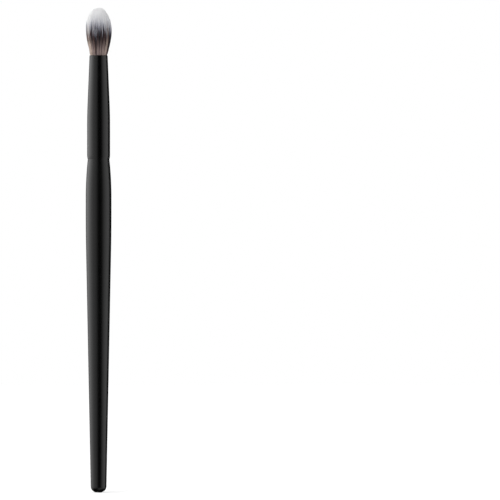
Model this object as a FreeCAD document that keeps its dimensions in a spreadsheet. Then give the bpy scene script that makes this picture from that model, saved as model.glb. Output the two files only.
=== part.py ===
import FreeCAD, Part
import math
import os
import Sketcher

# An eyeshadow brush, upright. +Z runs from the butt end of the handle to the tip of the tuft, and
# the origin is the centre of the butt end. Lengths are in millimetres. A share is a fraction of
# the size that its comment names.

SIZES = {
    # Wooden handle: a straight taper, the curve of the belly, the even grip, the curve of the shoulder
    "handle_length": 122.2,
    "butt_diameter": 5.7,
    "butt_round_share": 0.78,  # of the butt's radius
    "belly_curve_length": 13,
    "grip_length": 6,
    "grip_swell": 0.745,  # how far the grip stands proud of the shoulder
    "shoulder_curve_length": 14.2,
    # Tenon on the handle, inside the ferrule
    "tenon_end_gap": 0.8,  # from the tenon's end to where the bore starts to draw in
    "tenon_chamfer": 0.5,
    "groove_clearance": 0.08,
    "groove_slope": 0.3,
    "adhesive_film": 0.12,
    # Ferrule: a tube with a turned-in lip, an even stretch, a bend and a cone
    "ferrule_length": 38.1,
    "ferrule_diameter": 8.42,
    "ferrule_wall": 0.3,
    "lip_height": 1.7,
    "lip_inset": 0.235,
    "cone_length": 21.8,
    "cone_bend_length": 8,
    "cone_draw": 0.885,  # how far the cone draws the tube in
    "mouth_round_share": 0.33,  # of the wall
    # Resin cast in the cone
    "resin_under_roots": 2.2,
    "resin_round_roots": 4,
    # Thread that ties the roots
    "thread_diameter": 0.3,
    "thread_pitch": 0.75,
    "thread_turns": 5,
    "thread_clearance": 0.03,
    "thread_above_resin": 0.6,
    # Hair
    "tuft_length": 17.7,
    "tuft_swell": 1.4,  # how far the hair stands proud of the ferrule's mouth
    "tuft_belly_share": 0.55,  # of the tuft's length
    "tuft_flare_share": 0.36,  # of the tuft's length
    "tuft_tip_share": 0.64,  # of the tuft's largest radius
    "tuft_clearance": 0.05,  # from the bore at the mouth
}

FULL_TURN = 360
MATCH = 1e-4
# The numbers that a sketch gives to its axes and to the points of a curve
LEVEL_AXIS_INDEX = -1
UPRIGHT_AXIS_INDEX = -2
START_INDEX = 1
END_INDEX = 2
CENTRE_INDEX = 3
SKETCH_ORIGIN = (LEVEL_AXIS_INDEX, START_INDEX)
SKETCH_NORMAL = FreeCAD.Vector(0, 0, 1)

doc = FreeCAD.newDocument("EyeshadowBrush")
sheet = doc.addObject("Spreadsheet::Sheet", "Sizes")
for row, (alias, value) in enumerate(SIZES.items(), 1):
    sheet.set(f"A{row}", alias)
    sheet.set(f"B{row}", str(value))
    sheet.setAlias(f"B{row}", alias)
doc.recompute()

# Radii and heights that more than one piece shares, worked out from the sheet

FERRULE_RADIUS = "(Sizes.ferrule_diameter / 2)"
BORE_RADIUS = f"({FERRULE_RADIUS} - Sizes.ferrule_wall)"
SHOULDER_RADIUS = f"({FERRULE_RADIUS} - Sizes.lip_inset)"
MOUTH_RADIUS = f"({FERRULE_RADIUS} - Sizes.cone_draw)"
MOUTH_BORE_RADIUS = f"({MOUTH_RADIUS} - Sizes.ferrule_wall)"
BEND_START = "(Sizes.ferrule_length - Sizes.cone_length - Sizes.cone_bend_length / 2)"
BEND_END = "(Sizes.ferrule_length - Sizes.cone_length + Sizes.cone_bend_length / 2)"
CONE_SLOPE = "(Sizes.cone_draw / Sizes.cone_length)"
STRAIGHT_CONE_LENGTH = "(Sizes.cone_length - Sizes.cone_bend_length / 2)"
MOUTH_HEIGHT = "(Sizes.handle_length + Sizes.ferrule_length)"

TENON_RADIUS = f"({BORE_RADIUS} - Sizes.adhesive_film)"
TENON_LENGTH = f"({BEND_START} - Sizes.tenon_end_gap)"
TENON_FULL_HEIGHT = "(Sizes.lip_height + Sizes.groove_slope)"

ROOT_RADIUS = f"({MOUTH_BORE_RADIUS} - Sizes.tuft_clearance)"
ROOT_DEPTH = f"({STRAIGHT_CONE_LENGTH} - Sizes.resin_under_roots)"
# From the ends of the roots to the middle of the thread's first turn
THREAD_START = "(Sizes.resin_round_roots + Sizes.thread_above_resin + Sizes.thread_diameter / 2)"


def number(expression):
    """The value that an expression has now."""
    return float(sheet.evalExpression(expression))


def tangent_radius(length, drop):
    """Radius of an arc that leaves a straight line along it and drops away over a length."""
    return f"(({length}^2 + {drop}^2) / (2 * {drop}))"


def new_sketch(body):
    """A sketch on the body's upright plane: radius to the right, height upwards."""
    plane = [item for item in body.Origin.OriginFeatures if item.Role == "XZ_Plane"][0]
    sketch = body.newObject("Sketcher::SketchObject", body.Name + "_outline")
    sketch.AttachmentSupport = [(plane, "")]
    sketch.MapMode = "FlatFace"
    return sketch


def bind(sketch, kind, references, expression, name):
    """A driving constraint whose size follows an expression."""
    index = sketch.addConstraint(Sketcher.Constraint(kind, *references, number(expression)))
    sketch.renameConstraint(index, name)
    sketch.setExpression(f"Constraints.{name}", expression)


def outward_arc(start, end, radius):
    """The arc from start to end that bulges to the right of the way it runs."""
    chord = end - start
    to_centre = math.sqrt(radius**2 - (chord.Length / 2) ** 2)
    across = FreeCAD.Vector(-chord.y, chord.x, 0).normalize()
    centre = start + chord / 2 + across * to_centre
    angles = [math.atan2(point.y - centre.y, point.x - centre.x) for point in (start, end)]
    circle = Part.Circle(centre, SKETCH_NORMAL, radius)
    return Part.ArcOfCircle(circle, angles[0], angles[1])


def inward_arc(start, end, radius):
    """The arc from start to end that bulges to the left, drawn from its other end."""
    return outward_arc(end, start, radius)


def draw_outline(sketch, corners, arcs):
    """A closed outline through named corners, each a radius and a height, anticlockwise.

    None in place of a radius or a height is a corner on the axis or at the base. The stretch after
    a corner is straight unless arcs gives its shape and its radius.
    """
    names = list(corners)
    points = {
        name: FreeCAD.Vector(number(radius or "0"), number(height or "0"), 0)
        for name, (radius, height) in corners.items()
    }
    first_ends, last_ends = [], []
    for name, following in zip(names, names[1:] + names[:1]):
        if name in arcs:
            make_arc, radius = arcs[name]
            index = sketch.addGeometry(make_arc(points[name], points[following], number(radius)))
            bind(sketch, "Radius", (index,), radius, name + "_arc")
            backwards = make_arc is inward_arc
        else:
            index = sketch.addGeometry(Part.LineSegment(points[name], points[following]))
            backwards = False
        first_ends.append((index, END_INDEX if backwards else START_INDEX))
        last_ends.append((index, START_INDEX if backwards else END_INDEX))
    for position, name in enumerate(names):
        here = first_ends[position]
        sketch.addConstraint(Sketcher.Constraint("Coincident", *last_ends[position - 1], *here))
        radius, height = corners[name]
        if radius is None:
            sketch.addConstraint(Sketcher.Constraint("PointOnObject", *here, UPRIGHT_AXIS_INDEX))
        else:
            bind(sketch, "DistanceX", (*SKETCH_ORIGIN, *here), radius, name + "_radius")
        if height is None:
            sketch.addConstraint(Sketcher.Constraint("PointOnObject", *here, LEVEL_AXIS_INDEX))
        else:
            bind(sketch, "DistanceY", (*SKETCH_ORIGIN, *here), height, name + "_height")


def turned_body(label, corners, arcs, base_height=None):
    """A body turned from an outline about the upright axis, standing at a base height."""
    body = doc.addObject("PartDesign::Body", label)
    sketch = new_sketch(body)
    draw_outline(sketch, corners, arcs)
    turned = body.newObject("PartDesign::Revolution", label + "_turned")
    turned.Profile = (sketch, [""])
    turned.ReferenceAxis = (sketch, ["V_Axis"])
    turned.Angle = FULL_TURN
    sketch.Visibility = False
    if base_height:
        body.setExpression("Placement.Base.z", base_height)
    doc.recompute()
    return body


def ring_edges(shape, radius, height):
    """Names of the round edges that have this radius and lie at this height."""
    names = []
    for position, edge in enumerate(shape.Edges, 1):
        if not isinstance(edge.Curve, Part.Circle):
            continue
        if abs(edge.Curve.Radius - radius) < MATCH and abs(edge.Curve.Center.z - height) < MATCH:
            names.append(f"Edge{position}")
    return names


def ease_edges(body, kind, size, rings):
    """Round or chamfer ring-shaped edges, each given by its radius and height."""
    base = body.Tip
    edges = []
    for radius, height in rings:
        edges += ring_edges(base.Shape, number(radius), number(height))
    eased = body.newObject(f"PartDesign::{kind}", f"{body.Name}_{kind.lower()}")
    eased.Base = (base, edges)
    size_name = {"Fillet": "Radius", "Chamfer": "Size"}[kind]
    eased.setExpression(size_name, size)
    base.Visibility = False
    doc.recompute()


def make_handle():
    """Handle from the rounded butt to the shoulder, and the tenon above it."""
    butt_radius = "(Sizes.butt_diameter / 2)"
    grip_radius = f"({SHOULDER_RADIUS} + Sizes.grip_swell)"
    grip_top = "(Sizes.handle_length - Sizes.shoulder_curve_length)"
    grip_bottom = f"({grip_top} - Sizes.grip_length)"
    taper_top = f"({grip_bottom} - Sizes.belly_curve_length)"
    # Taper and belly curve share one tangent where they meet
    taper_slope = f"(({grip_radius} - {butt_radius}) / ({taper_top} + Sizes.belly_curve_length / 2))"
    belly_drop = f"({taper_slope} * Sizes.belly_curve_length / 2)"
    groove_radius = f"({SHOULDER_RADIUS} - Sizes.ferrule_wall - Sizes.groove_clearance)"
    tenon_end = f"(Sizes.handle_length + {TENON_LENGTH})"
    corners = {
        "butt_centre": (None, None),
        "butt_edge": (butt_radius, None),
        "taper_top": (f"{grip_radius} - {belly_drop}", taper_top),
        "grip_bottom": (grip_radius, grip_bottom),
        "grip_top": (grip_radius, grip_top),
        "shoulder_edge": (SHOULDER_RADIUS, "Sizes.handle_length"),
        "groove_bottom": (groove_radius, "Sizes.handle_length"),
        "groove_top": (groove_radius, "Sizes.handle_length + Sizes.lip_height"),
        "tenon_bottom": (TENON_RADIUS, f"Sizes.handle_length + {TENON_FULL_HEIGHT}"),
        "tenon_top": (TENON_RADIUS, tenon_end),
        "tenon_centre": (None, tenon_end),
    }
    arcs = {
        "taper_top": (outward_arc, tangent_radius("Sizes.belly_curve_length", belly_drop)),
        "grip_top": (outward_arc, tangent_radius("Sizes.shoulder_curve_length", "Sizes.grip_swell")),
    }
    handle = turned_body("handle", corners, arcs)
    ease_edges(handle, "Fillet", f"{butt_radius} * Sizes.butt_round_share", [(butt_radius, "0")])
    ease_edges(handle, "Chamfer", "Sizes.tenon_chamfer", [(TENON_RADIUS, tenon_end)])
    return handle


def make_tenon_adhesive():
    """Sleeve of adhesive between the tenon and the ferrule's bore."""
    bottom = TENON_FULL_HEIGHT
    top = f"({TENON_LENGTH} - Sizes.tenon_chamfer)"
    corners = {
        "inner_bottom": (TENON_RADIUS, None),
        "outer_bottom": (BORE_RADIUS, None),
        "outer_top": (BORE_RADIUS, f"{top} - {bottom}"),
        "inner_top": (TENON_RADIUS, f"{top} - {bottom}"),
    }
    return turned_body("tenon_adhesive", corners, {}, f"Sizes.handle_length + {bottom}")


def make_ferrule():
    """Ferrule: the bore repeats the outside, one wall further in."""
    # Half of the bend lies on each side of the corner that it rounds
    bend_drop = f"({CONE_SLOPE} * Sizes.cone_bend_length / 2)"
    outside = {
        "lip": (SHOULDER_RADIUS, None),
        "lip_top": (FERRULE_RADIUS, "Sizes.lip_height"),
        "bend_start": (FERRULE_RADIUS, BEND_START),
        "bend_end": (f"({FERRULE_RADIUS} - {bend_drop})", BEND_END),
        "mouth": (MOUTH_RADIUS, "Sizes.ferrule_length"),
    }
    bore = {
        "bore_" + name: (f"{radius} - Sizes.ferrule_wall", height)
        for name, (radius, height) in reversed(outside.items())
    }
    lip_radius = tangent_radius("Sizes.lip_height", "Sizes.lip_inset")
    bend_radius = tangent_radius("Sizes.cone_bend_length", bend_drop)
    arcs = {
        "lip": (outward_arc, lip_radius),
        "bend_start": (outward_arc, bend_radius),
        "bore_bend_end": (inward_arc, bend_radius),
        "bore_lip_top": (inward_arc, lip_radius),
    }
    ferrule = turned_body("ferrule", {**outside, **bore}, arcs, "Sizes.handle_length")
    rims = [(MOUTH_RADIUS, "Sizes.ferrule_length"), (MOUTH_BORE_RADIUS, "Sizes.ferrule_length")]
    ease_edges(ferrule, "Fillet", "Sizes.ferrule_wall * Sizes.mouth_round_share", rims)
    return ferrule


def make_resin_plug():
    """Resin that fills the wide end of the cone and sets the ends of the roots."""
    depth = "(Sizes.resin_under_roots + Sizes.resin_round_roots)"
    outer_bottom = f"({MOUTH_BORE_RADIUS} + {CONE_SLOPE} * {STRAIGHT_CONE_LENGTH})"
    corners = {
        "base_centre": (None, None),
        "base_edge": (outer_bottom, None),
        "top_edge": (f"{outer_bottom} - {CONE_SLOPE} * {depth}", depth),
        "socket_edge": (ROOT_RADIUS, depth),
        "socket_floor_edge": (ROOT_RADIUS, "Sizes.resin_under_roots"),
        "socket_floor_centre": (None, "Sizes.resin_under_roots"),
    }
    base_height = f"{MOUTH_HEIGHT} - {STRAIGHT_CONE_LENGTH}"
    return turned_body("resin_plug", corners, {}, base_height)


def make_tuft_binding():
    """One unbroken thread, wound round the waist of the roots."""
    body = doc.addObject("PartDesign::Body", "tuft_binding")
    sketch = new_sketch(body)
    centre = f"{ROOT_RADIUS} - Sizes.thread_clearance - Sizes.thread_diameter / 2"
    thread_radius = "Sizes.thread_diameter / 2"
    place = FreeCAD.Vector(number(centre), 0, 0)
    index = sketch.addGeometry(Part.Circle(place, SKETCH_NORMAL, number(thread_radius)))
    bind(sketch, "Radius", (index,), thread_radius, "thread_radius")
    bind(sketch, "DistanceX", (*SKETCH_ORIGIN, index, CENTRE_INDEX), centre, "thread_centre")
    sketch.addConstraint(Sketcher.Constraint("PointOnObject", index, CENTRE_INDEX, LEVEL_AXIS_INDEX))
    winding = body.newObject("PartDesign::AdditiveHelix", "tuft_binding_winding")
    winding.Profile = (sketch, [""])
    winding.ReferenceAxis = (sketch, ["V_Axis"])
    winding.Mode = "pitch-turns-angle"
    winding.setExpression("Pitch", "Sizes.thread_pitch")
    winding.setExpression("Turns", "Sizes.thread_turns")
    sketch.Visibility = False
    body.setExpression("Placement.Base.z", f"{MOUTH_HEIGHT} - {ROOT_DEPTH} + {THREAD_START}")
    doc.recompute()
    gap = number("Sizes.thread_pitch - Sizes.thread_diameter")
    print(f"least gap between turns of the thread: {gap:.2f} mm")
    return body


def make_bristle_tuft():
    """Hair: the tied roots in the ferrule, and the flame shape that stands out of it."""
    tuft_radius = f"({MOUTH_RADIUS} + Sizes.tuft_swell)"
    waist_radius = f"({ROOT_RADIUS} - Sizes.thread_diameter - 2 * Sizes.thread_clearance)"
    waist_margin = "(Sizes.thread_diameter / 2 + Sizes.thread_clearance)"
    waist_bottom = f"({THREAD_START} - {waist_margin})"
    waist_top = f"({THREAD_START} + Sizes.thread_turns * Sizes.thread_pitch + {waist_margin})"

    belly = "(Sizes.tuft_length * Sizes.tuft_belly_share)"
    flare = "(Sizes.tuft_length * Sizes.tuft_flare_share)"
    # Straight flare and belly curve share one tangent where they meet
    flare_slope = f"(({tuft_radius} - {ROOT_RADIUS}) / ({belly} - {flare} / 2))"
    flare_drop = f"({flare_slope} * {flare} / 2)"

    # The crown's arc meets the tip's arc, which is centred on the axis, in one tangent
    tip = f"({tuft_radius} * Sizes.tuft_tip_share)"
    rise = f"(Sizes.tuft_length - {tip} - {belly})"
    crown = f"(({tuft_radius}^2 + {rise}^2 - {tip}^2) / (2 * ({tuft_radius} - {tip})))"
    reach = f"({tip} / ({crown} - {tip}))"
    crown_end_radius = f"(({crown} - {tuft_radius}) * {reach})"
    crown_end_height = f"({belly} + {rise} + {rise} * {reach})"

    corners = {
        "root_centre": (None, None),
        "root_edge": (ROOT_RADIUS, None),
        "waist_below": (ROOT_RADIUS, waist_bottom),
        "waist_bottom": (waist_radius, waist_bottom),
        "waist_top": (waist_radius, waist_top),
        "waist_above": (ROOT_RADIUS, waist_top),
        "mouth": (ROOT_RADIUS, ROOT_DEPTH),
        "flare_top": (f"{tuft_radius} - {flare_drop}", f"{ROOT_DEPTH} + {belly} - {flare}"),
        "belly": (tuft_radius, f"{ROOT_DEPTH} + {belly}"),
        "crown_end": (crown_end_radius, f"{ROOT_DEPTH} + {crown_end_height}"),
        "tip": (None, f"{ROOT_DEPTH} + Sizes.tuft_length"),
    }
    arcs = {
        "flare_top": (outward_arc, tangent_radius(flare, flare_drop)),
        "belly": (outward_arc, crown),
        "crown_end": (outward_arc, tip),
    }
    return turned_body("bristle_tuft", corners, arcs, f"{MOUTH_HEIGHT} - {ROOT_DEPTH}")


pieces = [
    make_handle(),
    make_tenon_adhesive(),
    make_ferrule(),
    make_resin_plug(),
    make_tuft_binding(),
    make_bristle_tuft(),
]

doc.recompute()
for item in doc.Objects:
    if "Invalid" in item.State or "Error" in item.State:
        raise RuntimeError(f"{item.Label} could not be computed: {item.State}")
for piece in pieces:
    if piece.Shape.isNull() or not piece.Shape.isValid():
        raise RuntimeError(f"{piece.Label} has no valid shape")

os.makedirs("parts", exist_ok=True)
for piece in pieces:
    piece.Shape.exportStep(f"parts/{piece.Label}.step")
    box = piece.Shape.BoundBox
    print(f"{piece.Label}: {len(piece.Shape.Solids)} solid, z {box.ZMin:.2f} to {box.ZMax:.2f}")
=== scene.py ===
import math

import bpy
import numpy as np
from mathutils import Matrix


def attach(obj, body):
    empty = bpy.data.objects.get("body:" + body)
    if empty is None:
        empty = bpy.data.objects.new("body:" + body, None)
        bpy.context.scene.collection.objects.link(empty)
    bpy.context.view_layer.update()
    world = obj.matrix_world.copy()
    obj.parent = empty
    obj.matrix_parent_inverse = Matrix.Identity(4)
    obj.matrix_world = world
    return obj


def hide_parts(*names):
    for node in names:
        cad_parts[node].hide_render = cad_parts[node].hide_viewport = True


# An eyeshadow brush, upright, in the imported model's frame: +Z runs from the butt end of the handle to
# the tip of the tuft. The camera looks along +Y, so -X is on the left of the picture. Blender's unit
# is the metre. Lengths of the brush are in millimetres, as in the part's source, until MM turns them.
# Lengths of the stage are in metres.

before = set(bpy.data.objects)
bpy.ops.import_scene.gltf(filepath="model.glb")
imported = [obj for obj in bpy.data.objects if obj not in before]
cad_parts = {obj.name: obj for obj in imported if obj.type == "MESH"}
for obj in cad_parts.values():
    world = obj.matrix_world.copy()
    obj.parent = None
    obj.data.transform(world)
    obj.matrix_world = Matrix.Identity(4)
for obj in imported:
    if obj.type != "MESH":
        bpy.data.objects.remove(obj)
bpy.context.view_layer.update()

MM = 0.001
SEED = 19
rng = np.random.default_rng(SEED)

# Camera

PICTURE_PIXELS = 500
PIXEL_SIZE = 0.367  # millimetres of the brush to a pixel
BRUSH_COLUMN = 98.6  # the pixel column of the brush's axis
BUTT_ROW = 492.3  # the pixel row of the butt end
LENS = 500.0
SENSOR = 36.0

camera_data = bpy.data.cameras.new("camera")
camera_data.lens = LENS
camera_data.sensor_width = SENSOR
camera = bpy.data.objects.new("camera", camera_data)
camera.location = (
    (PICTURE_PIXELS / 2 - BRUSH_COLUMN) * PIXEL_SIZE * MM,
    -PICTURE_PIXELS * PIXEL_SIZE * LENS / SENSOR * MM,
    (BUTT_ROW - PICTURE_PIXELS / 2) * PIXEL_SIZE * MM,
)
camera.rotation_euler = (math.radians(90), 0, 0)
bpy.context.collection.objects.link(camera)
bpy.context.scene.camera = camera
bpy.context.scene.view_settings.view_transform = "Standard"


# Materials. Waves of noise are counted to a metre, and their depths are in metres

NOISE_LOW, NOISE_HIGH = 0.3, 0.7  # nearly all of a noise lies between these
LACQUER_TONE_WAVES = 90
LACQUER_GLOSS_WAVES = 1500
LACQUER_PEEL_WAVES = 480
LACQUER_IOR = 1.5


def node_adder(tree):
    """A function that adds a node to a tree. Each input gets a value, or a socket to link to it."""

    def add(kind, inputs=(), **settings):
        node = tree.nodes.new(kind)
        for key, value in settings.items():
            setattr(node, key, value)
        for key, value in dict(inputs).items():
            if isinstance(value, bpy.types.NodeSocket):
                tree.links.new(value, node.inputs[key])
            else:
                node.inputs[key].default_value = value
        return node

    return add


def new_material(name):
    """A material and its shader, with functions that add a node and link a shader's input."""
    material = bpy.data.materials.new(name)
    material.use_nodes = True
    tree = material.node_tree
    shader = tree.nodes["Principled BSDF"]

    def wear(key, socket):
        tree.links.new(socket, shader.inputs[key])

    return material, shader, node_adder(tree), wear


def grey(level):
    """A colour without a hue."""
    return (level, level, level)


def compute(add, operation, *values):
    """The result of a calculation on values."""
    return add("ShaderNodeMath", dict(enumerate(values)), operation=operation).outputs["Value"]


def stretch(add, value, start, end, low=0.0, high=1.0):
    """A value from start to end, stretched to lie from low to high."""
    limits = {"From Min": start, "From Max": end, "To Min": low, "To Max": high}
    return add("ShaderNodeMapRange", {"Value": value, **limits}).outputs["Result"]


def mix(add, share, first, second):
    """A colour between the first and the second."""
    return add("ShaderNodeMixRGB", {"Fac": share, "Color1": first, "Color2": second}).outputs["Color"]


def ramp(add, factor, stops):
    """A colour ramp through (place, linear colour) stops."""
    node = add("ShaderNodeValToRGB", {"Fac": factor})
    elements = node.color_ramp.elements
    while len(elements) < len(stops):
        elements.new(0.5)  # anywhere, as its stop moves it
    for element, (place, colour) in zip(elements, stops):
        element.position = place
        element.color = (*colour, 1)
    return node.outputs["Color"]


def noise(add, place, waves, detail):
    """Noise of this many waves to the place's unit."""
    node = add("ShaderNodeTexNoise", {"Vector": place, "Scale": waves, "Detail": detail})
    return node.outputs["Fac"]


def between(add, value, low, high):
    """A noise, stretched to lie from low to high."""
    return stretch(add, value, NOISE_LOW, NOISE_HIGH, low, high)


def bump(add, height, depth):
    """Normals of a skin whose lowest and highest places, at heights 0 and 1, lie a depth apart."""
    return add("ShaderNodeBump", {"Height": height, "Distance": depth}).outputs["Normal"]


def lacquer(name, darkest, lightest, smoothest, roughest, peel):
    """Satin black lacquer: an uneven tone and gloss, and a shallow orange peel."""
    material, shader, add, wear = new_material(name)
    place = add("ShaderNodeTexCoord").outputs["Object"]
    tone = noise(add, place, LACQUER_TONE_WAVES, detail=3)
    gloss = noise(add, place, LACQUER_GLOSS_WAVES, detail=4)
    skin = noise(add, place, LACQUER_PEEL_WAVES, detail=2)
    wear("Base Color", ramp(add, tone, [(NOISE_LOW, grey(darkest)), (NOISE_HIGH, grey(lightest))]))
    wear("Roughness", between(add, gloss, smoothest, roughest))
    wear("Normal", bump(add, skin, peel))
    shader.inputs["IOR"].default_value = LACQUER_IOR
    return material


handle_lacquer = lacquer(
    "handle_lacquer", darkest=0.0006, lightest=0.0016, smoothest=0.28, roughest=0.31, peel=1.5e-6
)
ferrule_lacquer = lacquer(
    "ferrule_lacquer", darkest=0.0006, lightest=0.0014, smoothest=0.235, roughest=0.265, peel=1.2e-6
)


# Outlines of turned pieces, as points of radius and height


def straight(start, end, steps):
    """Points after start, up to end, on a line."""
    start, end = np.array(start, float), np.array(end, float)
    return [start + (end - start) * step / steps for step in range(1, steps + 1)]


def arc(start, end, radius, steps, bulge=1):
    """Points after start, up to end, on an arc that bulges to the right of its way, or left for -1."""
    start, end = np.array(start, float), np.array(end, float)
    chord = end - start
    length = np.hypot(*chord)
    across = np.array([-chord[1], chord[0]]) / length * bulge
    centre = (start + end) / 2 + across * math.sqrt(radius**2 - (length / 2) ** 2)
    first = math.atan2(*(start - centre)[::-1])
    turn = math.atan2(*(end - centre)[::-1]) - first
    turn = (turn + math.pi) % (2 * math.pi) - math.pi
    angles = first + turn * np.arange(1, steps + 1) / steps
    return [centre + radius * np.array([math.cos(angle), math.sin(angle)]) for angle in angles]


def rounded(before, corner, after, radius, steps):
    """Points on the round that takes a corner's place."""
    before, corner, after = (np.array(point, float) for point in (before, corner, after))
    back = (before - corner) / np.hypot(*(before - corner))
    ahead = (after - corner) / np.hypot(*(after - corner))
    reach = radius / math.tan(math.acos(back @ ahead) / 2)
    start, end = corner + back * reach, corner + ahead * reach
    left = back[1] * ahead[0] - back[0] * ahead[1] > 0
    return [start, *arc(start, end, radius, steps, 1 if left else -1)]


def tangent_radius(length, drop):
    """Radius of an arc that leaves a straight line along it and drops away over a length."""
    return (length**2 + drop**2) / (2 * drop)


# Turned pieces

UV_MAP = "OFBake"
SHARP_ANGLE = 32  # degrees between two faces, above which their edge is sharp
TURNED_SIDES = 128


def new_object(name, mesh, material):
    """A new object that wears one material."""
    mesh.materials.append(material)
    made = bpy.data.objects.new(name, mesh)
    bpy.context.collection.objects.link(made)
    return made


def lathe(name, profile, material, sides, closed=False, flutes=1.0, chart_place=None):
    """A piece turned from (radius, height) points, bottom to top along its outside.

    closed joins the last point to the first. flutes is the factor of the radius, or one for each
    side. The texture goes once round and once along the outline, unless chart_place gives a corner's
    place on it from its side, its way across that side from 0 to 1, and its height.
    """
    turns = 2 * math.pi * np.arange(sides) / sides
    vertices, rings = [], []
    for radius, height in profile:
        first = len(vertices)
        if radius == 0:
            vertices.append((0, 0, height * MM))
            rings.append([first] * sides)
            continue
        widths = radius * MM * flutes * np.ones(sides)
        vertices += zip(widths * np.cos(turns), widths * np.sin(turns), [height * MM] * sides)
        rings.append(list(range(first, first + sides)))
    ends = profile + profile[:1] if closed else profile
    lengths = np.cumsum([0] + [math.dist(a, b) for a, b in zip(ends, ends[1:])])
    lengths /= lengths[-1]
    faces, places = [], []
    for low in range(len(ends) - 1):
        high = (low + 1) % len(profile)
        for side in range(sides):
            after = (side + 1) % sides
            corners = [
                (rings[low][side], 0.0, lengths[low]),
                (rings[low][after], 1.0, lengths[low]),
                (rings[high][after], 1.0, lengths[low + 1]),
                (rings[high][side], 0.0, lengths[low + 1]),
            ]
            if corners[0][0] == corners[1][0]:
                corners = [(corners[0][0], 0.5, lengths[low]), *corners[2:]]
            elif corners[2][0] == corners[3][0]:
                corners = [*corners[:2], (corners[2][0], 0.5, lengths[low + 1])]
            faces.append([vertex for vertex, _, _ in corners])
            for vertex, across, along in corners:
                if chart_place is None:
                    places.append(((side + across) / sides, along))
                else:
                    places.append(chart_place(side, across, vertices[vertex][2] / MM))
    mesh = bpy.data.meshes.new(name)
    mesh.from_pydata(vertices, [], faces)
    layer = mesh.uv_layers.new(name=UV_MAP)
    layer.uv.foreach_set("vector", np.array(places, np.float32).ravel())
    mesh.shade_smooth()
    mesh.set_sharp_from_angle(angle=math.radians(SHARP_ANGLE))
    made = new_object(name, mesh, material)
    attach(made, "root")
    return made


# Sizes of the handle and the ferrule. Heights are above the butt end

BUTT_RADIUS = 2.85
BUTT_ROUND = 0.78 * BUTT_RADIUS  # radius of the butt's rounded edge
TAPER_TOP = 89.0
BELLY_CURVE = 13.0  # length of the curve between the taper and the grip
GRIP_TOP = 108.0
GRIP_RADIUS = 4.72
SHOULDER = 122.2  # height where the handle goes into the ferrule
SHOULDER_RADIUS = 3.975
GROOVE_CLEARANCE = 0.08  # between the crimp groove and the ferrule's lip
GROOVE_SLOPE = 0.3  # height of the slope above the groove
ADHESIVE_FILM = 0.12  # between the tenon and the ferrule's bore
TENON_TOP = 133.7
TENON_CHAMFER = 0.5
LIP_HEIGHT = 1.7  # of the ferrule's turned-in lip
FERRULE_RADIUS = 4.21
WALL = 0.3  # thickness of the ferrule
BEND_START = 134.5
BEND_LENGTH = 8.0  # of the curve between the ferrule's even stretch and its cone
MOUTH = 160.3  # height of the ferrule's upper end
MOUTH_RADIUS = 3.325
RIM_ROUND = 0.099  # radius of the mouth's rounded edges


# Handle

groove_radius = SHOULDER_RADIUS - WALL - GROOVE_CLEARANCE
tenon_radius = FERRULE_RADIUS - WALL - ADHESIVE_FILM
taper_slope = (GRIP_RADIUS - BUTT_RADIUS) / (TAPER_TOP + BELLY_CURVE / 2)
belly_drop = taper_slope * BELLY_CURVE / 2
belly_radius = tangent_radius(BELLY_CURVE, belly_drop)
shoulder_curve = tangent_radius(SHOULDER - GRIP_TOP, GRIP_RADIUS - SHOULDER_RADIUS)
taper_end = (GRIP_RADIUS - belly_drop, TAPER_TOP)
grip_bottom = (GRIP_RADIUS, TAPER_TOP + BELLY_CURVE)
grip_top = (GRIP_RADIUS, GRIP_TOP)
shoulder = (SHOULDER_RADIUS, SHOULDER)

handle_profile = [(0.0, 0.0)]
handle_profile += rounded((0, 0), (BUTT_RADIUS, 0), taper_end, BUTT_ROUND, steps=20)
handle_profile += straight(handle_profile[-1], taper_end, steps=30)
handle_profile += arc(taper_end, grip_bottom, belly_radius, steps=10)
handle_profile += straight(grip_bottom, grip_top, steps=3)
handle_profile += arc(grip_top, shoulder, shoulder_curve, steps=16)
handle_profile += [
    (groove_radius, SHOULDER),
    (groove_radius, SHOULDER + LIP_HEIGHT),
    (tenon_radius, SHOULDER + LIP_HEIGHT + GROOVE_SLOPE),
    (tenon_radius, TENON_TOP - TENON_CHAMFER),
    (tenon_radius - TENON_CHAMFER, TENON_TOP),
    (0.0, TENON_TOP),
]
handle = lathe("handle_turned", handle_profile, handle_lacquer, TURNED_SIDES)
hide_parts("handle")


# Ferrule

cone_slope = (FERRULE_RADIUS - MOUTH_RADIUS) / (MOUTH - BEND_START - BEND_LENGTH / 2)
lip_curve = tangent_radius(LIP_HEIGHT, FERRULE_RADIUS - SHOULDER_RADIUS)
bend_drop = cone_slope * BEND_LENGTH / 2
bend_curve = tangent_radius(BEND_LENGTH, bend_drop)
lip = np.array([SHOULDER_RADIUS, SHOULDER])
lip_top = np.array([FERRULE_RADIUS, SHOULDER + LIP_HEIGHT])
bend_start = np.array([FERRULE_RADIUS, BEND_START])
bend_end = np.array([FERRULE_RADIUS - bend_drop, BEND_START + BEND_LENGTH])
mouth = np.array([MOUTH_RADIUS, MOUTH])
wall = np.array([WALL, 0.0])

ferrule_profile = [lip]
ferrule_profile += arc(lip, lip_top, lip_curve, steps=10)
ferrule_profile += straight(lip_top, bend_start, steps=4)
ferrule_profile += arc(bend_start, bend_end, bend_curve, steps=8)
ferrule_profile += rounded(bend_end, mouth, mouth - wall, RIM_ROUND, steps=6)
ferrule_profile += rounded(mouth, mouth - wall, bend_end - wall, RIM_ROUND, steps=6)
ferrule_profile += [bend_end - wall]
ferrule_profile += arc(bend_end - wall, bend_start - wall, bend_curve, steps=8, bulge=-1)
ferrule_profile += [lip_top - wall]
ferrule_profile += arc(lip_top - wall, lip - wall, lip_curve, steps=10, bulge=-1)
ferrule = lathe("ferrule_tube", ferrule_profile, ferrule_lacquer, TURNED_SIDES, closed=True)
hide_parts("ferrule")


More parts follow.
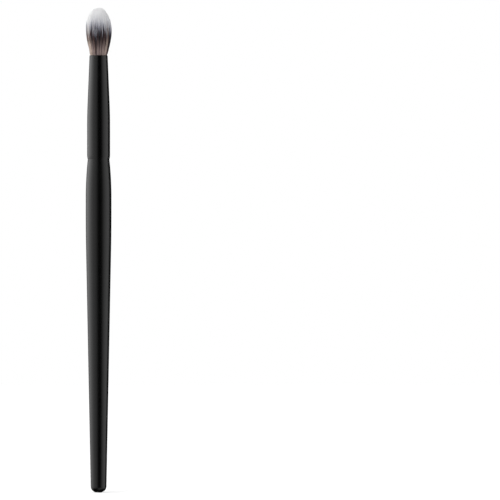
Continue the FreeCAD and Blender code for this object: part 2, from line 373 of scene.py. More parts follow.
# The tuft's outline. Heights in this part and the next are above the ferrule's mouth

ROOT_RADIUS = 2.975
BELLY_RADIUS = 4.725
TUFT_LENGTH = 17.7
BELLY = 0.55 * TUFT_LENGTH  # height of the widest place
FLARE = 0.36 * TUFT_LENGTH  # length of the curve below it
TIP_RADIUS = 0.64 * BELLY_RADIUS
SPLAY = 0.15  # how far the hair spreads over the mouth's rounding
LEAN = 0.13  # how far the tuft's lower part leans to the right
# Heights where they set in, are full, start to fade and end
SPLAY_HEIGHTS = (0.0, 0.4, 0.6, 2.6)
LEAN_HEIGHTS = (0.2, 2.0, 8.5, 11.0)
FLOW_SPREAD = 0.34  # share of the outline's narrowing above the belly that hairs don't follow

flare_slope = (BELLY_RADIUS - ROOT_RADIUS) / (BELLY - FLARE / 2)
flare_arc = tangent_radius(FLARE, flare_slope * FLARE / 2)
crown_rise = TUFT_LENGTH - TIP_RADIUS - BELLY
crown_arc = (BELLY_RADIUS**2 + crown_rise**2 - TIP_RADIUS**2) / (2 * (BELLY_RADIUS - TIP_RADIUS))
crown_end = BELLY + crown_rise + crown_rise * TIP_RADIUS / (crown_arc - TIP_RADIUS)


def smooth(value, low, high):
    """0 below low, 1 above high, and a smooth step between."""
    part = np.clip((value - low) / (high - low), 0, 1)
    return part * part * (3 - 2 * part)


def swell(height, heights):
    """1 between the two middle ones of four heights, 0 outside all four, and smooth steps between."""
    bottom, full, fading, top = heights
    return smooth(height, bottom, full) * (1 - smooth(height, fading, top))


def arc_width(height, middle, largest, radius):
    """Radius of a body at a height, on an arc whose widest place is at the middle."""
    return largest - radius + np.sqrt(np.maximum(radius**2 - (height - middle) ** 2, 0))


def tuft_radius(height):
    """Radius of the tuft's outline."""
    line = ROOT_RADIUS + flare_slope * np.maximum(height, 0)
    flare = arc_width(height, BELLY, BELLY_RADIUS, flare_arc)
    crown = arc_width(height, BELLY, BELLY_RADIUS, crown_arc)
    tip = arc_width(height, TUFT_LENGTH - TIP_RADIUS, TIP_RADIUS, TIP_RADIUS)
    reach = [height < BELLY - FLARE, height < BELLY, height < crown_end]
    return np.select(reach, [line, flare, crown], tip)


def flow_radius(height):
    """Radius that the outermost hairs follow."""
    outline = tuft_radius(height) + SPLAY * swell(height, SPLAY_HEIGHTS)
    return np.where(height < BELLY, outline, outline + (BELLY_RADIUS - outline) * FLOW_SPREAD)


def lean(height):
    """How far the tuft's middle lies to the right."""
    return LEAN * swell(height, LEAN_HEIGHTS)


# Colours of the hair, and painted shade in the ferrule. A chart holds them, across by tone and up by
# height

CHART_BELOW = 2.0  # how far the chart reaches below the mouth
CHART_SPAN = TUFT_LENGTH + 3.0
CHART_MARGIN = 0.02  # kept free at the chart's sides
CHART_ENDS = (0.01, 0.99)
HAIR_STRIP = 0.008  # half the width of a hair's strip of the chart
HAIR_SHINE = 0.14
HAIR_ROUGHNESS = (0.36, 0.52)
# Waves across the chart and up it. The third number has no effect
STREAK_WAVES = (60.0, 5.0, 1.0)
SCALE_WAVES = (20.0, 160.0, 1.0)
STREAK_SHIFT = 0.015  # how far streaks shift the colours up or down the chart
SCALE_DEPTH = 1e-6

# The dyes at heights, for hairs from the palest to the darkest
# Each first stop, 1.5 mm down in the ferrule's bore, is darker than the next: painted shade
DYES_AND_BORE_SHADE = [
    [
        (-1.5, (0.28, 0.22, 0.19)),
        (0.6, (0.78, 0.64, 0.55)),
        (5.0, (0.68, 0.56, 0.48)),
        (6.2, (0.20, 0.140, 0.12)),
        (7.9, (0.21, 0.160, 0.15)),
        (9.5, (0.75, 0.74, 0.73)),
        (12.0, (0.97, 0.97, 0.97)),
    ],
    [
        (-1.5, (0.12, 0.085, 0.07)),
        (0.6, (0.47, 0.350, 0.312)),
        (3.3, (0.22, 0.152, 0.131)),
        (5.4, (0.068, 0.029, 0.024)),
        (7.6, (0.050, 0.015, 0.013)),
        (8.8, (0.10, 0.068, 0.073)),
        (10.2, (0.48, 0.48, 0.53)),
        (12.3, (0.81, 0.81, 0.83)),
        (15.5, (0.93, 0.93, 0.94)),
    ],
    [
        (-1.5, (0.09, 0.07, 0.065)),
        (0.6, (0.40, 0.315, 0.31)),
        (3.3, (0.215, 0.167, 0.163)),
        (5.8, (0.030, 0.025, 0.026)),
        (8.6, (0.055, 0.052, 0.064)),
        (10.4, (0.41, 0.42, 0.50)),
        (12.6, (0.80, 0.80, 0.83)),
        (15.5, (0.92, 0.92, 0.93)),
    ],
    [
        (-1.5, (0.04, 0.03, 0.025)),
        (0.6, (0.13, 0.08, 0.075)),
        (3.0, (0.04, 0.025, 0.025)),
        (6.0, (0.012, 0.010, 0.011)),
        (8.8, (0.018, 0.016, 0.023)),
        (10.4, (0.31, 0.31, 0.37)),
        (12.4, (0.79, 0.79, 0.82)),
        (15.5, (0.91, 0.91, 0.92)),
    ],
]


def chart_row(height):
    """Where a height lies on the chart, from 0 to 1."""
    return (height + CHART_BELOW) / CHART_SPAN


def chart_column(tone):
    """Where a tone lies on the chart, from 0 to 1. Tones go from 0, palest, to 1, darkest."""
    return CHART_MARGIN + (1 - 2 * CHART_MARGIN) * np.clip(tone, 0, 1)


def hair_material(name):
    """Synthetic hair, dyed as the chart says, with faint streaks and scales. The chart's foot is
    painted shade.
    """
    material, shader, add, wear = new_material(name)
    place = add("ShaderNodeUVMap", uv_map=UV_MAP).outputs["UV"]
    parts = add("ShaderNodeSeparateXYZ", {"Vector": place}).outputs
    streak_place, scale_place = (
        add("ShaderNodeMapping", {"Vector": place, "Scale": waves}).outputs["Vector"]
        for waves in (STREAK_WAVES, SCALE_WAVES)
    )
    streaks = noise(add, streak_place, 1.0, detail=2)
    height = compute(add, "ADD", parts["Y"], between(add, streaks, -STREAK_SHIFT, STREAK_SHIFT))
    columns = [ramp(add, height, [(chart_row(at), tint) for at, tint in dye]) for dye in DYES_AND_BORE_SHADE]
    colour = columns[0]
    for index, column in enumerate(columns[1:]):
        share = stretch(add, parts["X"], index / (len(DYES_AND_BORE_SHADE) - 1), (index + 1) / (len(DYES_AND_BORE_SHADE) - 1))
        colour = mix(add, share, colour, column)
    wear("Base Color", colour)
    wear("Roughness", between(add, streaks, *HAIR_ROUGHNESS))
    wear("Normal", bump(add, noise(add, scale_place, 1.0, detail=2), SCALE_DEPTH))
    shader.inputs["Specular IOR Level"].default_value = HAIR_SHINE
    return material


hair_dye_and_bore_shade = hair_material("hair_dye_and_bore_shade")


# Hairs. Each grows from a place in the root disc, whose radius is 1, and draws towards the middle of
# its strand and of its clump

HAIRS = 6400
STRANDS = 1700
CLUMPS = 260
GOLDEN_ANGLE = math.pi * (3 - math.sqrt(5))
BATCH = 500  # points that are compared with all centres at a time
HAIR_SIDES = 3
HAIR_START = -1.4  # in the ferrule's bore
INNER_SHARE, MIDDLE_SHARE = 0.74, 0.9  # of the disc's radius, where inner and middle hairs end
INNER_START = 6.0  # inner hairs are made from here up only, as the outer ones hide the rest
LEAST_LENGTH = 1.0
END_GAP = 0.1  # a hair's end stays at least so far below the outline
END_SPREAD = 0.22  # how far the ends spread from there, in the middle of the tuft
OUTER_END_SPREAD = 0.36  # and how much further on its outside
END_SPREAD_SHARES = (0.1, 0.5)  # of the disc's radius, between which that sets in
OUTLINE_STEPS = 400
POINT_SPACING = 0.85  # below 1, a hair's points lie closer towards its end
# Shares of the tuft's length over which hairs draw together
STRAND_GATHERS = (0.1, 0.9)
CLUMP_GATHERS = (0.25, 1.0)
REACH_CHANGE = 0.3  # share of the change of reach that drawing together gives a hair
BEND, BEND_POWER = 0.08, 1.5  # how far hairs' ends stray sideways, and how late they do
WAVE, WAVE_TURNS = 0.045, (6, 14)  # depth of a hair's waves, and their radians to the tuft's length
TIP_ROOM = 0.02  # how far hairs may leave the outline above the belly
ON_AXIS = 1e-6  # least reach, so that nothing is divided by 0
TIP_TAPER, TAPER_START = 0.55, 0.75  # share of its thickness that a hair loses, and from where on
SURFACE_SHARE = 0.7  # how far a hair is shaded as a part of the tuft's surface, and not as a rod
SLOPE_STEP = 0.05  # how far apart the outline is read for its slope


def spread_over_disc(count, jitter):
    """Points spread evenly over the disc, but for some jitter."""
    index = np.arange(count)
    radius = np.sqrt((index + 0.5) / count)
    angle = index * GOLDEN_ANGLE
    points = np.stack([radius * np.cos(angle), radius * np.sin(angle)], 1)
    return points + rng.normal(0, jitter / math.sqrt(count), (count, 2))


def nearest(points, centres):
    """Index of the centre nearest to each point."""
    found = np.empty(len(points), int)
    for first in range(0, len(points), BATCH):
        apart = points[first : first + BATCH, None] - centres[None]
        found[first : first + BATCH] = (apart**2).sum(2).argmin(1)
    return found


def hair_paths(roots, first, rings, strand, strand_pull, clump, clump_pull, short):
    """Paths of hairs from their places in the disc: points, and heights above the mouth.

    first is the height where they start, and rings the number of points of each. strand and clump are
    the middles of theirs, in the disc. short is how far each ends below the outline.
    """
    count = len(roots)
    share = np.hypot(*roots.T)
    heights = np.linspace(BELLY, TUFT_LENGTH, OUTLINE_STEPS)
    inside = tuft_radius(heights) / flow_radius(heights)
    last = np.interp(-share, -inside, heights) - short
    spread = END_SPREAD + OUTER_END_SPREAD * smooth(share, *END_SPREAD_SHARES)
    last -= np.abs(rng.normal(0, 1, count)) * spread + END_GAP
    last = np.maximum(last, first + LEAST_LENGTH)
    height = first + (last[:, None] - first) * np.linspace(0, 1, rings) ** POINT_SPACING
    grown = np.clip(height / TUFT_LENGTH, 0, 1)[:, :, None]

    to_strand = strand_pull[:, None, None] * smooth(grown, *STRAND_GATHERS)
    to_clump = clump_pull[:, None, None] * smooth(grown, *CLUMP_GATHERS)
    place = roots[:, None] + (strand - roots)[:, None] * to_strand
    place += (clump - strand)[:, None] * to_clump
    reach = np.linalg.norm(place, axis=2)
    kept = share[:, None] + (reach - share[:, None]) * REACH_CHANGE
    path = place * (kept / np.maximum(reach, ON_AXIS) * flow_radius(height))[:, :, None]

    bend = rng.normal(0, BEND, (count, 1, 2)) * grown**BEND_POWER
    waves = rng.normal(0, WAVE, (count, 1, 2)) * grown
    phase = rng.uniform(0, 2 * math.pi, (count, 1))
    sway = np.sin(phase + height / TUFT_LENGTH * rng.uniform(*WAVE_TURNS, (count, 1)))
    path = path + bend + waves * sway[:, :, None]

    reach = np.linalg.norm(path, axis=2)
    most = np.where(height > BELLY, tuft_radius(height) + TIP_ROOM, flow_radius(height))
    path *= np.minimum(1, np.minimum(most, BELLY_RADIUS) / np.maximum(reach, ON_AXIS))[:, :, None]
    path[:, :, 0] += lean(height)
    return np.concatenate([path, height[:, :, None]], 2)


def facing_out(paths):
    """Directions out of the tuft's outline, at the points of hairs."""
    height = paths[:, :, 2]
    above, below = tuft_radius(height + SLOPE_STEP), tuft_radius(height - SLOPE_STEP)
    rise = (below**2 - above**2) / (4 * SLOPE_STEP)
    out = np.stack([paths[:, :, 0] - lean(height), paths[:, :, 1], rise], -1)
    return out / np.linalg.norm(out, axis=2, keepdims=True)


def hair_rods(paths, thickness):
    """Vertices of tubes round the paths, in metres, and the directions that they are shaded by."""
    count, rings, _ = paths.shape
    along = np.gradient(paths, axis=1)
    along /= np.linalg.norm(along, axis=2, keepdims=True)
    across = np.cross(along, rng.normal(0, 1, (count, 1, 3)))
    across /= np.linalg.norm(across, axis=2, keepdims=True)
    second = np.cross(along, across)
    turns = (2 * math.pi * np.arange(HAIR_SIDES) / HAIR_SIDES)[:, None]
    outward = across[:, :, None] * np.cos(turns) + second[:, :, None] * np.sin(turns)
    taper = 1 - TIP_TAPER * smooth(np.linspace(0, 1, rings), TAPER_START, 1.0)
    points = paths[:, :, None] + outward * (thickness[:, None] / 2 * taper)[:, :, None, None]
    points[..., 2] += MOUTH
    normals = outward + (facing_out(paths)[:, :, None] - outward) * SURFACE_SHARE
    normals /= np.linalg.norm(normals, axis=3, keepdims=True)
    return points.reshape(-1, 3) * MM, normals.reshape(-1, 3)


def hair_faces(count, rings):
    """The tubes' faces: the vertices at all their corners, and how many corners each has.

    All sides come first, then all the ends at the roots, and then all tips.
    """
    first = (np.arange(count) * rings * HAIR_SIDES)[:, None, None]
    low = first + np.arange(rings - 1)[:, None] * HAIR_SIDES
    high = low + HAIR_SIDES
    side = np.arange(HAIR_SIDES)
    after = (side + 1) % HAIR_SIDES
    quads = np.stack([low + side, low + after, high + after, high + side], -1)
    root_ends = first[:, 0] + side[::-1]
    tips = first[:, 0] + (rings - 1) * HAIR_SIDES + side
    corners = np.concatenate([quads.ravel(), root_ends.ravel(), tips.ravel()])
    totals = np.repeat([4, HAIR_SIDES], [quads.size // 4, 2 * count])
    return corners, totals


def hair_chart(paths, tone, shift):
    """Places of the same corners on the chart. shift is how far up it each hair moves."""
    column = chart_column(tone)
    row = np.clip(chart_row(paths[:, :, 2] + shift[:, None]), *CHART_ENDS)
    left = column[:, None, None] + HAIR_STRIP * (2 * np.arange(HAIR_SIDES) / HAIR_SIDES - 1)
    right = left + HAIR_STRIP * 2 / HAIR_SIDES
    bottom, top = row[:, :-1, None], row[:, 1:, None]
    corners = [(left, bottom), (right, bottom), (right, top), (left, top)]
    quads = np.stack([np.stack(np.broadcast_arrays(*corner), -1) for corner in corners], 3)
    triangle = HAIR_STRIP * np.array([[-1.0, -1.0], [1.0, -1.0], [0.0, 1.0]])
    root_ends, tips = (np.stack([column, row[:, end]], -1)[:, None] + triangle for end in (0, -1))
    return np.concatenate([part.reshape(-1, 2) for part in (quads, root_ends, tips)])


def hair_piece(name, paths, thickness, tone, shift):
    """Hairs as closed, tapered tubes in one mesh."""
    points, normals = hair_rods(paths, thickness)
    corners, totals = hair_faces(*paths.shape[:2])
    mesh = bpy.data.meshes.new(name)
    mesh.vertices.add(len(points))
    mesh.vertices.foreach_set("co", points.astype(np.float32).ravel())
    mesh.loops.add(len(corners))
    mesh.loops.foreach_set("vertex_index", corners.astype(np.int32))
    mesh.polygons.add(len(totals))
    mesh.polygons.foreach_set("loop_start", (np.cumsum(totals) - totals).astype(np.int32))
    mesh.update(calc_edges=True)
    layer = mesh.uv_layers.new(name=UV_MAP)
    layer.uv.foreach_set("vector", hair_chart(paths, tone, shift).astype(np.float32).ravel())
    mesh.shade_smooth()
    mesh.normals_split_custom_set_from_vertices(normals.astype(np.float32))
    made = new_object(name, mesh, hair_dye_and_bore_shade)
    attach(made, "root")
    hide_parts("bristle_tuft")


# Locks that stand out on the side that the camera sees: bearing and half width in degrees, tone, and
# lift, which is how far down the lock's pale tips reach. A tone above 1 darkens more of its strands
# The broad pale lock on the far left is partly painted light, for the stronger light on that side
LOCKS_AND_SIDE_LIGHT = [
    (-64, 19, 0.06, 0.2),
    (-35, 5, 1.10, -1.4),
    (-25, 3.5, 0.35, -1.2),
    (-17, 4, 1.40, 0.2),
    (-9, 3, 1.00, -0.8),
    (-2, 3, 0.60, 0.4),
    (6, 5, 1.10, -0.6),
    (14, 3, 0.35, 0.3),
    (22, 4, 0.95, -0.9),
    (32, 6, 0.15, -0.2),
    (47, 6, 0.04, -1.4),
    (63, 6, 1.30, 0.4),
    (76, 9, 1.20, 0.6),
]
# Locks on the other sides
OTHER_LOCKS = 14
OTHER_BEARINGS = (88, 272)
OTHER_JITTER = 3  # degrees
OTHER_WIDTHS = (4, 10)
OTHER_TONES = (0.55, 0.35)  # the mean, and how far it varies
OTHER_LIFTS = (0.4, 0.9)

TONE_COLUMN, LIFT_COLUMN = 2, 3
TONE_HOLD, LIFT_HOLD = 0.9, 0.6  # how far a lock's own tone and lift take the place of its strands'
LOCK_SHARES = (0.6, 0.85)  # of the disc's radius, between which the locks set in
# How far hairs draw together with their clump, and with their strand
CLUMP_PULLS = (0.05, 0.35)
STRAND_PULLS = (0.2, 0.8)
MEAN_TONE = 0.62
# How far tones and lifts vary
CLUMP_TONES, STRAND_TONES, HAIR_TONES = 0.14, 0.38, 0.18
CLUMP_LIFTS, STRAND_LIFTS, HAIR_LIFTS = 0.55, 0.9, 0.75
SHORT_STRANDS = 0.25  # share of the strands that end early
SHORT_BY = (0.8, 3.4)
SHORT_FACTORS = (0.7, 1.3)  # and of that, each of their hairs
SHORT_LIFT = 0.7  # how far their pale tips come down with their ends
THICKNESSES = (0.08, 0.125)


def hold(values, points, column, share):
    """Draw values at points of the disc towards what one column of the locks' table says."""
    bearing = np.degrees(np.arctan2(points[:, 0], -points[:, 1]))
    outer = smooth(np.hypot(*points.T), *LOCK_SHARES)
    for lock in all_locks:
        apart = (bearing - lock[0] + 180) % 360 - 180
        near = np.exp(-((apart / lock[1]) ** 2)) * outer
        values += near * share * (lock[column] - values)


other_bearings = np.linspace(*OTHER_BEARINGS, OTHER_LOCKS) + rng.normal(0, OTHER_JITTER, OTHER_LOCKS)
other_locks = [
    (bearing, rng.uniform(*OTHER_WIDTHS), rng.normal(*OTHER_TONES), rng.normal(*OTHER_LIFTS))
    for bearing in other_bearings
]
all_locks = LOCKS_AND_SIDE_LIGHT + other_locks

clump_centres = spread_over_disc(CLUMPS, jitter=0.5)
clump_pulls = rng.uniform(*CLUMP_PULLS, CLUMPS)
strand_centres = spread_over_disc(STRANDS, jitter=0.6)
strand_pulls = rng.uniform(*STRAND_PULLS, STRANDS)
strand_clump = nearest(strand_centres, clump_centres)
strand_tone = MEAN_TONE + rng.normal(0, CLUMP_TONES, CLUMPS)[strand_clump]
strand_tone += rng.normal(0, STRAND_TONES, STRANDS)
strand_lift = rng.normal(0, CLUMP_LIFTS, CLUMPS)[strand_clump] + rng.normal(0, STRAND_LIFTS, STRANDS)
hold(strand_tone, strand_centres, TONE_COLUMN, TONE_HOLD)
hold(strand_lift, strand_centres, LIFT_COLUMN, LIFT_HOLD)
is_short = rng.random(STRANDS) < SHORT_STRANDS
strand_short = np.where(is_short, rng.uniform(*SHORT_BY, STRANDS), 0.0)

roots = spread_over_disc(HAIRS, jitter=0.6)
roots /= max(1.0, np.hypot(*roots.T).max())
hair_strand = nearest(roots, strand_centres)
hair_tone = strand_tone[hair_strand] + rng.normal(0, HAIR_TONES, HAIRS)
hair_short = strand_short[hair_strand] * rng.uniform(*SHORT_FACTORS, HAIRS)
hair_lift = strand_lift[hair_strand] + SHORT_LIFT * hair_short + rng.normal(0, HAIR_LIFTS, HAIRS)
hair_thickness = rng.uniform(*THICKNESSES, HAIRS)

root_share = np.hypot(*roots.T)
is_inner, is_outer = root_share < INNER_SHARE, root_share >= MIDDLE_SHARE
# Which hairs, the height where they start, and the number of points of each
layers = {
    "tuft_hair_inner": (is_inner, INNER_START, 8),
    "tuft_hair_middle": (~is_inner & ~is_outer, HAIR_START, 12),
    "tuft_hair_outer": (is_outer, HAIR_START, 14),
}
for name, (chosen, first, rings) in layers.items():
    strand = hair_strand[chosen]
    clump = strand_clump[strand]
    paths = hair_paths(
        roots[chosen],
        first,
        rings,
        strand_centres[strand],
        strand_pulls[strand],
        clump_centres[clump],
        clump_pulls[clump],
        hair_short[chosen],
    )
    hair_piece(name, paths, hair_thickness[chosen], hair_tone[chosen], hair_lift[chosen])


# Stray hairs, which lie loose on the tuft's outside, some of them across the others

STRAYS = 30
STRAY_POINTS = 16
STRAY_ENDS = (7.0, 14.5)
STRAY_CROSSING = 9  # degrees that they turn round the tuft over its length
STRAY_WIGGLE = 0.02  # how far they snake round the tuft, in radians
STRAY_WIGGLES = (0.3, 0.7)  # radians of a snake's wave to a millimetre
STRAY_GAP, STRAY_GAPS = 0.01, 0.03  # least distance from the tuft, and how far it varies
STRAY_RISE = (0.3, 4.0)  # heights between which they come away from it
STRAY_FLICK = 0.06  # how far their ends stand off
STRAY_FLICK_PART = (0.6, 1.0)  # of a hair's length, over which its end does
STRAY_TONES = (0.0, 0.75)
STRAY_LIFT, STRAY_LIFTS = 0.3, 1.0  # how far pale tips come down with the ends, and how that varies
STRAY_THICKNESSES = (0.06, 0.09)


def stray_paths(bearing, rings):
    """Paths of stray hairs, and the heights where they end."""
    count = len(bearing)
    crossing = np.radians(rng.normal(0, STRAY_CROSSING, count))
    last = rng.uniform(*STRAY_ENDS, count)
    proud = np.abs(rng.normal(0, STRAY_GAPS, count)) + STRAY_GAP
    flick = np.abs(rng.normal(0, STRAY_FLICK, count))
    part = np.linspace(0, 1, rings)
    height = HAIR_START + (last[:, None] - HAIR_START) * part
    angle = bearing[:, None] + crossing[:, None] * height / TUFT_LENGTH
    angle += STRAY_WIGGLE * np.sin(height * rng.uniform(*STRAY_WIGGLES, (count, 1)) + bearing[:, None])
    lift = proud[:, None] * smooth(height, *STRAY_RISE)
    lift += flick[:, None] * smooth(part, *STRAY_FLICK_PART)
    outline = np.where(height < BELLY, np.inf, tuft_radius(height))
    reach = np.minimum(flow_radius(height), outline) + lift
    path = np.stack([reach * np.sin(angle) + lean(height), -reach * np.cos(angle), height], -1)
    return path, last


stray_bearing = rng.uniform(0, 2 * math.pi, STRAYS)
stray_tone = rng.uniform(*STRAY_TONES, STRAYS)
stray_roots = np.stack([np.sin(stray_bearing), -np.cos(stray_bearing)], 1)
hold(stray_tone, stray_roots, TONE_COLUMN, TONE_HOLD)
paths, last = stray_paths(stray_bearing, STRAY_POINTS)
stray_lift = STRAY_LIFT * (TUFT_LENGTH - last) + rng.normal(0, STRAY_LIFTS, STRAYS)
stray_thickness = rng.uniform(*STRAY_THICKNESSES, STRAYS)
hair_piece("tuft_hair_stray", paths, stray_thickness, stray_tone, stray_lift)


# Root bundle in the ferrule, and the tuft's core, which fills the gaps between the hairs

ROOT_BOTTOM = 144.7  # above the butt end, as the waist's heights are
WAIST_BOTTOM, WAIST_TOP = 149.27, 153.38
WAIST_RADIUS = 2.615
CORE_BOTTOM, CORE_TOP = -2.8, 14.2  # above the mouth
# Heights above the mouth, and the core's radius there as a share of the tuft's
CORE_SHARES = [
    (-1.2, 0.86),
    (1.5, 0.84),
    (4.0, 0.82),
    (7.0, 0.79),
    (10.0, 0.72),
    (12.0, 0.58),
    (13.4, 0.34),
]
CORE_SIDES = 150
CORE_FLUTES = (0.955, 1.0)  # factors of its radius
CORE_TONE, CORE_TONES = 0.6, 0.25  # the mean, and how far it varies
# Heights above the mouth, and where the core's colours come from on the chart, whose foot is painted
# shade
CORE_HEIGHTS = [-16.0, HAIR_START, TUFT_LENGTH]
CORE_ROWS = [0.004, chart_row(HAIR_START), chart_row(TUFT_LENGTH)]


def core_place(side, across, height):
    """Where a corner lies on the chart. All below the hairs' start fits on the chart's foot."""
    column = core_columns[side] + HAIR_STRIP * (2 * across - 1)
    return column, np.interp(height - MOUTH, CORE_HEIGHTS, CORE_ROWS)


root_profile = [
    (0.0, ROOT_BOTTOM),
    (ROOT_RADIUS, ROOT_BOTTOM),
    (ROOT_RADIUS, WAIST_BOTTOM),
    (WAIST_RADIUS, WAIST_BOTTOM),
    (WAIST_RADIUS, WAIST_TOP),
    (ROOT_RADIUS, WAIST_TOP),
    (ROOT_RADIUS, MOUTH + CORE_BOTTOM),
]
root_profile += [(share * tuft_radius(height), MOUTH + height) for height, share in CORE_SHARES]
root_profile += [(0.0, MOUTH + CORE_TOP)]
core_flutes = rng.uniform(*CORE_FLUTES, CORE_SIDES)
core_columns = chart_column(rng.normal(CORE_TONE, CORE_TONES, CORE_SIDES))
tuft_roots = lathe(
    "tuft_roots", root_profile, hair_dye_and_bore_shade, CORE_SIDES, flutes=core_flutes, chart_place=core_place
)
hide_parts("bristle_tuft")


# Pieces inside the ferrule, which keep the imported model's shapes

THREAD_STRANDS = 39  # that a turn of the thread passes
THREAD_TWIST = 0.3  # millimetres up the thread from a strand to the next
# The thread's colours, from the grooves between its strands to their crowns: the dark ones are painted
# shade
THREAD_TINTS_AND_GROOVE_SHADE = [(0.0, (0.24, 0.19, 0.12)), (0.35, (0.52, 0.44, 0.31)), (1.0, (0.72, 0.64, 0.48))]
THREAD_ROUGHNESS = (0.5, 0.72)
THREAD_GLOSS_WAVES = 9000
THREAD_FIBRE_WAVES = 24000
THREAD_FIBRES = 0.3  # their depth, as a share of a strand's
THREAD_DEPTH = 3e-5
RESIN_IOR = 1.52
BUBBLES = 4  # to a wave of the clouds
PIT_REACH = (0.05, 0.3)  # from a bubble's middle
AMBER = [(0.3, (0.42, 0.20, 0.05)), (0.5, (0.62, 0.36, 0.11)), (0.7, (0.76, 0.52, 0.22))]
MILKY = [(0.3, (0.62, 0.57, 0.46)), (0.5, (0.74, 0.70, 0.60)), (0.7, (0.84, 0.81, 0.73))]


def thread_material(name):
    """Waxed linen thread, twisted from strands, darker in the grooves between them as painted shade."""
    material, _, add, wear = new_material(name)
    place = add("ShaderNodeTexCoord").outputs["Object"]
    parts = add("ShaderNodeSeparateXYZ", {"Vector": place}).outputs
    turn = compute(add, "ARCTAN2", parts["Y"], parts["X"])
    along = compute(add, "MULTIPLY", turn, THREAD_STRANDS)
    phase = compute(add, "MULTIPLY_ADD", parts["Z"], 2 * math.pi / (THREAD_TWIST * MM), along)
    strand = stretch(add, compute(add, "SINE", phase), -1.0, 1.0)
    fibres = noise(add, place, THREAD_FIBRE_WAVES, detail=2)
    skin = compute(add, "MULTIPLY_ADD", fibres, THREAD_FIBRES, strand)
    gloss = noise(add, place, THREAD_GLOSS_WAVES, detail=3)
    # The colour follows the strands' relief: painted shade in the grooves
    wear("Base Color", ramp(add, strand, THREAD_TINTS_AND_GROOVE_SHADE))
    wear("Roughness", between(add, gloss, *THREAD_ROUGHNESS))
    wear("Normal", bump(add, skin, THREAD_DEPTH))
    return material


def cast_material(name, stops, smoothest, roughest, waves, depth, see_through):
    """A cast or set resin: cloudy tints, small bubbles and an uneven skin."""
    material, shader, add, wear = new_material(name)
    place = add("ShaderNodeTexCoord").outputs["Object"]
    clouds = noise(add, place, waves, detail=4)
    bubbles = add("ShaderNodeTexVoronoi", {"Vector": place, "Scale": waves * BUBBLES})
    pits = stretch(add, bubbles.outputs["Distance"], *PIT_REACH)
    wear("Base Color", ramp(add, clouds, stops))
    wear("Roughness", between(add, clouds, smoothest, roughest))
    wear("Normal", bump(add, compute(add, "MULTIPLY", clouds, pits), depth))
    shader.inputs["Transmission Weight"].default_value = see_through
    shader.inputs["IOR"].default_value = RESIN_IOR
    return material


inside = {
    "tuft_binding": thread_material("waxed_thread"),
    "resin_plug": cast_material(
        "cast_epoxy", AMBER, smoothest=0.12, roughest=0.26, waves=900, depth=2e-5, see_through=0.35
    ),
    "tenon_adhesive": cast_material(
        "set_adhesive", MILKY, smoothest=0.3, roughest=0.5, waves=1400, depth=1e-5, see_through=0.1
    ),
}
for node, material in inside.items():
    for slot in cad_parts[node].material_slots:
        slot.material = material


# Stage

WHITE = (1.0, 1.0, 1.0, 1.0)
BLACK = (0.0, 0.0, 0.0, 1.0)
WORLD_LIGHT, WORLD_SEEN = 0.5, 1.0  # what the world lights things with, and what is seen of it
FLOOR_SIZE = 4.0
FLOOR_DROP = 0.00005
FLOOR_TONE = 0.7
FLOOR_GLOW = (0.26, 0.68)  # near the brush, and far from it
FLOOR_GLOW_REACH = (0.35, 1.1)


def seen_rays(add):
    """1 for rays from the camera and from shiny or clear surfaces, and 0 for rays that light things."""
    rays = add("ShaderNodeLightPath").outputs
    seen = rays["Is Camera Ray"]
    for name in ("Is Glossy Ray", "Is Transmission Ray"):
        seen = compute(add, "MAXIMUM", seen, rays[name])
    return seen


def floor_material(name):
    """A matt floor that glows up to white, but keeps the brush's shadow."""
    material, shader, add, wear = new_material(name)
    shader.inputs["Base Color"].default_value = (*grey(FLOOR_TONE), 1)
    shader.inputs["Roughness"].default_value = 1.0
    shader.inputs["Specular IOR Level"].default_value = 0.0
    shader.inputs["Emission Color"].default_value = WHITE
    place = add("ShaderNodeTexCoord").outputs["Object"]
    reach = add("ShaderNodeVectorMath", {0: place}, operation="LENGTH").outputs["Value"]
    glow = stretch(add, reach, *FLOOR_GLOW_REACH, *FLOOR_GLOW)
    wear("Emission Strength", compute(add, "MULTIPLY", glow, seen_rays(add)))
    return material


world = bpy.data.worlds.new("studio")
world.use_nodes = True
bpy.context.scene.world = world
background = world.node_tree.nodes["Background"]
background.inputs["Color"].default_value = WHITE
world_add = node_adder(world.node_tree)
world_strength = stretch(world_add, seen_rays(world_add), 0.0, 1.0, WORLD_LIGHT, WORLD_SEEN)
world.node_tree.links.new(world_strength, background.inputs["Strength"])

half = FLOOR_SIZE / 2
floor_mesh = bpy.data.meshes.new("floor")
floor_mesh.from_pydata(
    [(-half, -half, 0), (half, -half, 0), (half, half, 0), (-half, half, 0)], [], [(0, 1, 2, 3)]
)
floor = new_object("floor", floor_mesh, floor_material("floor"))
floor.location.z = -FLOOR_DROP
floor.visible_glossy = False


# What shiny surfaces see around the brush: bearing from the camera's side in degrees, and brightness
# low down and high up
SURROUND = [
    (-180, 0.00, 0.00),
    (-147, 0.16, 0.25),
    (-126, 0.75, 2.00),
    (-107, 0.90, 2.40),
    (-91, 0.90, 2.25),
    (-54, 0.73, 0.84),
    (-32, 0.56, 0.61),
    (-21, 0.44, 0.48),
    (-13, 0.24, 0.28),
    (-5, 0.00, 0.00),
    (27, 0.00, 0.00),
    (34, 0.10, 0.10),
    (53, 0.67, 0.70),
    (75, 1.02, 1.06),
    (109, 1.00, 1.05),
    (113, 0.00, 0.00),
    (180, 0.00, 0.00),
]
SURROUND_RADIUS = 0.5
SURROUND_BOTTOM, SURROUND_TOP = -0.3, 0.9
SURROUND_LOW, SURROUND_HIGH = -0.12, 0.14  # heights of the two columns of brightness
SURROUND_SIDES = 72
GROUND_GLOW = [(0.35, 0.01), (0.55, 0.5), (0.75, 0.6)]  # from the left to the right
GROUND_FADE = (-0.2, -0.03)  # places in front of the brush, between which it fades
CEILING_GLOW = [(0.0, 0.3), (0.5, 0.03), (1.0, 0.2)]  # from the left to the right


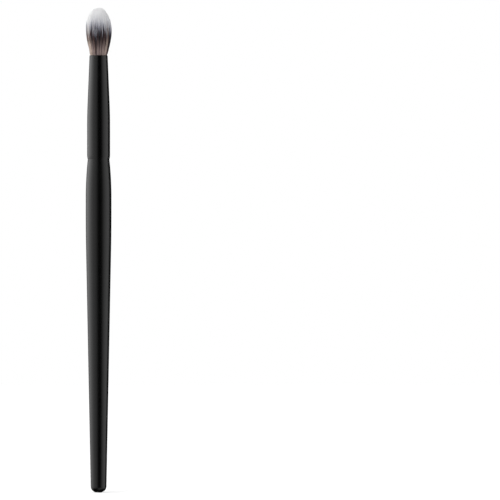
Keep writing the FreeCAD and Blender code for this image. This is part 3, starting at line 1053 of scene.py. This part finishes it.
def reflected_only(name, vertices, faces, glow):
    """A part of the stage that only shiny surfaces see. glow gives its brightness from its place."""
    material, shader, add, wear = new_material(name)
    shader.inputs["Base Color"].default_value = BLACK
    shader.inputs["Specular IOR Level"].default_value = 0.0
    shader.inputs["Emission Strength"].default_value = 1.0
    place = add("ShaderNodeNewGeometry").outputs["Position"]
    wear("Emission Color", glow(add, add("ShaderNodeSeparateXYZ", {"Vector": place}).outputs))
    mesh = bpy.data.meshes.new(name)
    mesh.from_pydata(vertices, [], faces)
    made = new_object(name, mesh, material)
    made.visible_camera = False
    made.visible_diffuse = False
    made.visible_shadow = False
    made.visible_transmission = False


def across_glow(add, place, stops):
    """A brightness that changes from the surround's left, at 0, to its right, at 1."""
    share = stretch(add, place["X"], -SURROUND_RADIUS, SURROUND_RADIUS)
    return ramp(add, share, [(at, grey(level)) for at, level in stops])


def wall_glow(add, place):
    """The surround's brightness at a bearing and height."""
    bearing = compute(add, "ARCTAN2", place["X"], compute(add, "MULTIPLY", place["Y"], -1.0))
    turn = stretch(add, bearing, -math.pi, math.pi)
    low, high = (
        ramp(add, turn, [((stop[0] + 180) / 360, grey(stop[column])) for stop in SURROUND])
        for column in (1, 2)
    )
    return mix(add, stretch(add, place["Z"], SURROUND_LOW, SURROUND_HIGH), low, high)


def ground_glow(add, place):
    """Below the brush, dark on the left and close to it, and half bright in front on the right."""
    share = stretch(add, place["Y"], *GROUND_FADE)
    return mix(add, share, across_glow(add, place, GROUND_GLOW), BLACK)


def ceiling_glow(add, place):
    """Above the brush, nearly dark."""
    return across_glow(add, place, CEILING_GLOW)


surround_turns = 2 * math.pi * np.arange(SURROUND_SIDES) / SURROUND_SIDES
circle = SURROUND_RADIUS * np.stack([np.cos(surround_turns), np.sin(surround_turns)], 1)
low_rim = [(x, y, SURROUND_BOTTOM) for x, y in circle]
high_rim = [(x, y, SURROUND_TOP) for x, y in circle]
sides = range(SURROUND_SIDES)
nexts = [*sides[1:], 0]
wall_faces = [(a, b, b + SURROUND_SIDES, a + SURROUND_SIDES) for a, b in zip(sides, nexts)]
reflected_only("surround_wall", low_rim + high_rim, wall_faces, wall_glow)
reflected_only("surround_ground", low_rim, [tuple(sides)], ground_glow)
reflected_only("surround_ceiling", high_rim, [tuple(sides)], ceiling_glow)


# Soft lamps that face the brush: bearing from the camera's side and elevation in degrees, distance,
# width, height and radiance
SOFTBOXES = {
    "left": (-95, 10, 0.6, 0.5, 0.9, 1.75),
    "key": (-35, 48, 0.8, 0.4, 0.4, 6.5),
    "fill": (60, 25, 0.8, 0.4, 0.4, 2.8),
    "rim_left": (-140, 20, 0.8, 0.4, 0.6, 2.0),
    "rim_right": (135, 20, 0.8, 0.4, 0.6, 2.2),
}
AIM_HEIGHT = 0.1  # that the lamps face

for name, (bearing, elevation, distance, width, height, radiance) in SOFTBOXES.items():
    lamp = bpy.data.lights.new(name, "AREA")
    lamp.shape = "RECTANGLE"
    lamp.size = width
    lamp.size_y = height
    lamp.energy = radiance * math.pi * width * height
    softbox = bpy.data.objects.new(name, lamp)
    turn, tilt = math.radians(bearing), math.radians(elevation)
    softbox.location = (
        distance * math.sin(turn) * math.cos(tilt),
        -distance * math.cos(turn) * math.cos(tilt),
        AIM_HEIGHT + distance * math.sin(tilt),
    )
    softbox.rotation_euler = (math.radians(90) - tilt, 0, turn)
    softbox.visible_camera = False
    softbox.visible_glossy = False
    bpy.context.collection.objects.link(softbox)
